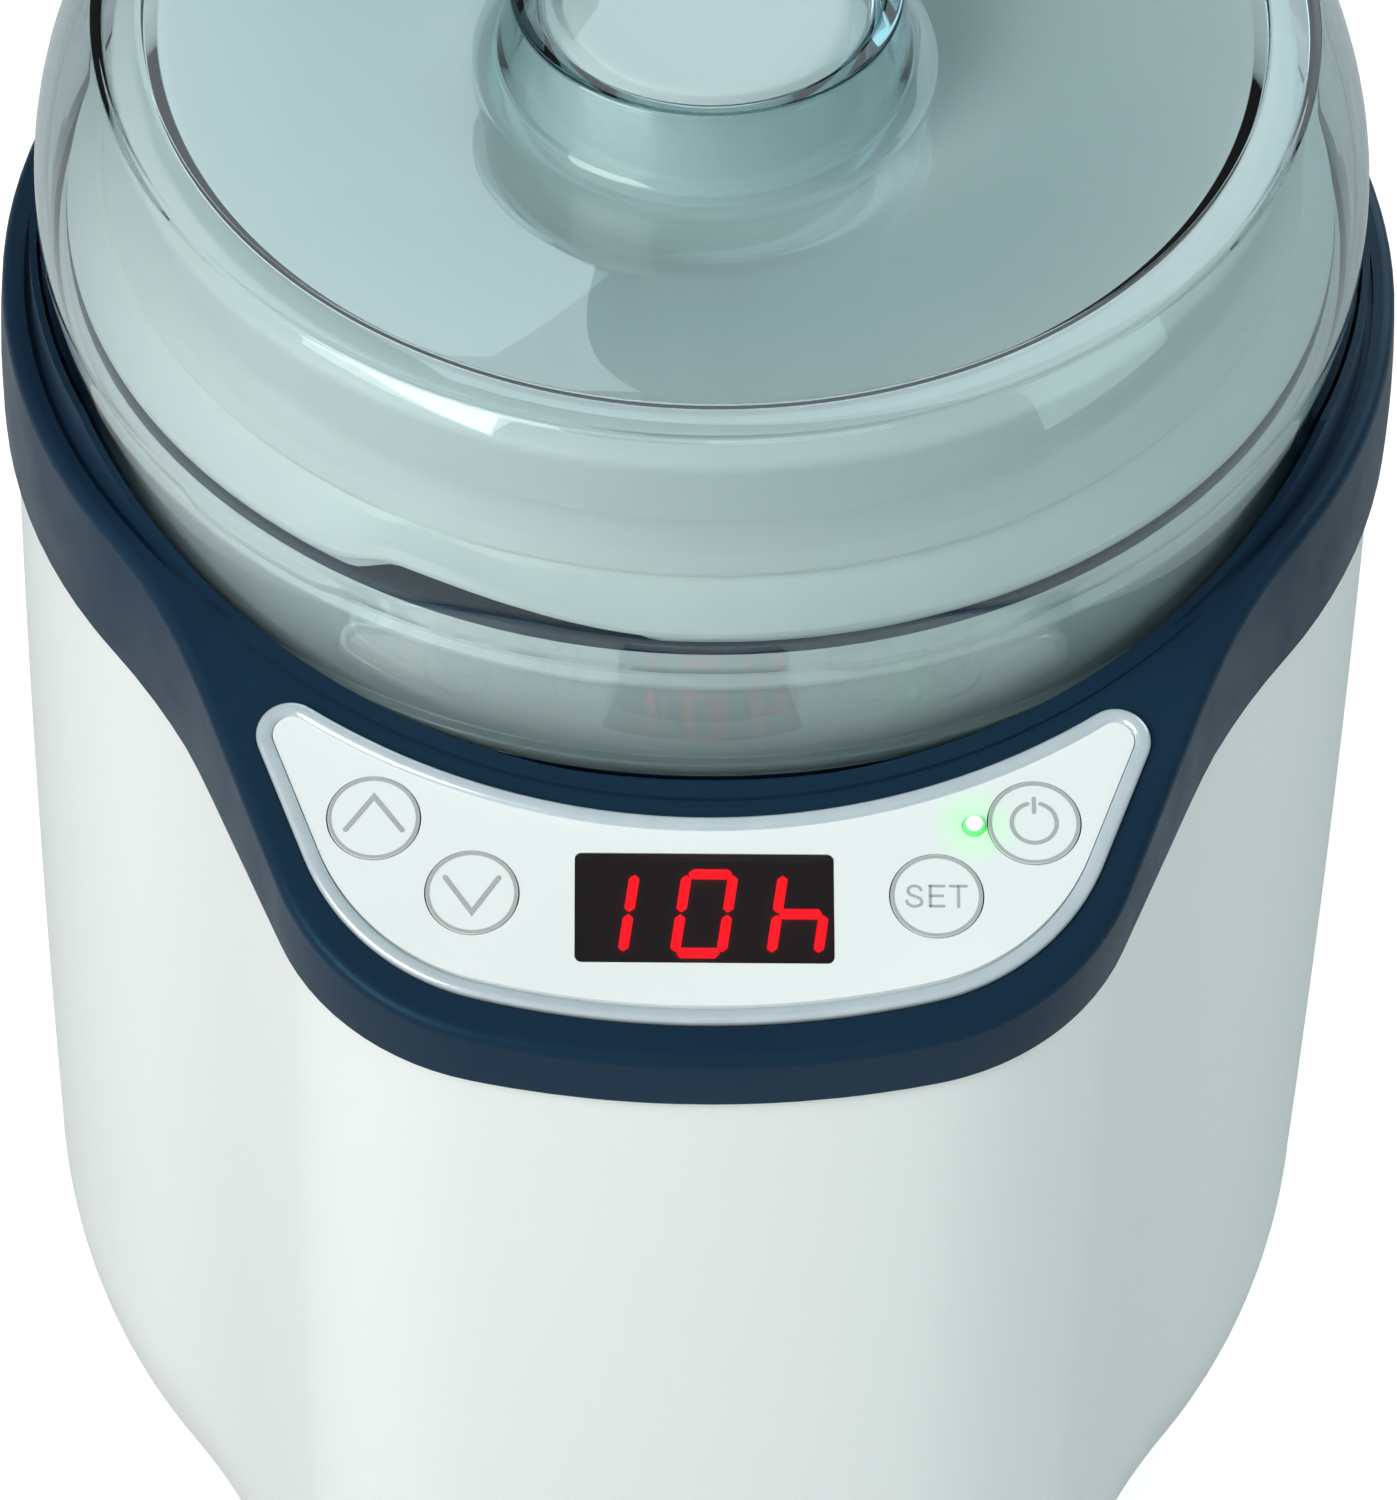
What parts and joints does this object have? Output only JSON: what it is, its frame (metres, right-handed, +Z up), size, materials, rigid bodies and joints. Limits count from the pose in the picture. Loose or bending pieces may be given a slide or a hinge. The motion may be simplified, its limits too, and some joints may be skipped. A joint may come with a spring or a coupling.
{
  "type": "yogurt maker",
  "caption": "Tabletop yogurt maker: egg-shaped white body, dark blue ring with a sloping key panel, lift-out pot with twist lid and a smoked lift-off cover.",
  "frame": {"origin": "middle of the footprint on the surface it stands on", "axes": "+Z up along the pot's axis, front control panel faces -Y, +X to the right seen from the front"},
  "size_m": [0.1912, 0.2251, 0.2645],
  "materials": {
    "white": "glossy white moulded plastic",
    "navy": "satin dark blue moulded plastic",
    "smoke": "clear grey-tinted moulded plastic",
    "clear": "clear bevelled plastic over silver",
    "black": "glossy black window",
    "glow": "lit red display bars",
    "led": "lit green lamp",
    "milk_pot": "satin white food-grade plastic",
    "silicone": "soft navy silicone",
    "rubber": "black rubber",
    "steel": "zinc-plated steel",
    "aluminium": "cast aluminium",
    "mica": "mica heating mat",
    "foam": "pale felt insulation",
    "board": "green circuit board",
    "component": "black component bodies"
  },
  "bodies": {
    "base": {"outer_housing": "white", "base_plate": "white", "rubber_feet": "rubber", "base_screws": "steel", "trim_ring": "navy", "panel_frame": "clear", "control_fascia": "white", "display_lens": "black", "display_module": "component", "display_segments": "glow", "tact_switches": "component", "status_led": "led", "control_board": "board", "control_board_screws": "steel", "heating_well": "white", "well_gasket": "silicone", "heater_plate": "aluminium", "heater_element": "mica", "insulation_sleeve": "foam", "temperature_sensor": "steel", "thermal_fuse": "steel", "heater_screws": "steel", "power_board": "board", "power_board_screws": "steel", "transformer": "component", "heater_relay": "component", "smoothing_capacitor": "component", "terminal_block": "component", "cord_gland": "rubber"},
    "pot": {"yogurt_pot": "milk_pot"},
    "seal": {"lid_seal": "silicone"},
    "lid": {"pot_lid": "milk_pot"},
    "cover": {"cover": "smoke"},
    "key_up": {"button_up": "white"},
    "key_down": {"button_down": "white"},
    "key_set": {"button_set": "white"},
    "key_power": {"button_power": "white"}
  },
  "joints": [
    {"name": "pot_lift", "type": "slide", "parent": "base", "child": "pot", "axis": [0, 0, 1], "range_m": [0, 0.16]},
    {"name": "lid_lift", "type": "slide", "parent": "pot", "child": "seal", "axis": [0, 0, 1], "range_m": [0, 0.09]},
    {"name": "lid_twist", "type": "hinge", "parent": "seal", "child": "lid", "pos_m": [0, 0.0166, 0.2273], "axis": [0, 0, 1], "range_deg": [0, 30]},
    {"name": "cover_lift", "type": "slide", "parent": "seal", "child": "cover", "axis": [0, 0, 1], "range_m": [0, 0.12]},
    {"name": "press_up", "type": "slide", "parent": "base", "child": "key_up", "axis": [0, 0.2672, -0.9636], "range_m": [0, 0.0005], "stiffness_N_per_m": 600, "springref_m": -0.002},
    {"name": "press_down", "type": "slide", "parent": "base", "child": "key_down", "axis": [0, 0.2672, -0.9636], "range_m": [0, 0.0005], "stiffness_N_per_m": 600, "springref_m": -0.002},
    {"name": "press_set", "type": "slide", "parent": "base", "child": "key_set", "axis": [0, 0.2672, -0.9636], "range_m": [0, 0.0005], "stiffness_N_per_m": 600, "springref_m": -0.002},
    {"name": "press_power", "type": "slide", "parent": "base", "child": "key_power", "axis": [0, 0.2672, -0.9636], "range_m": [0, 0.0005], "stiffness_N_per_m": 600, "springref_m": -0.002}
  ]
}
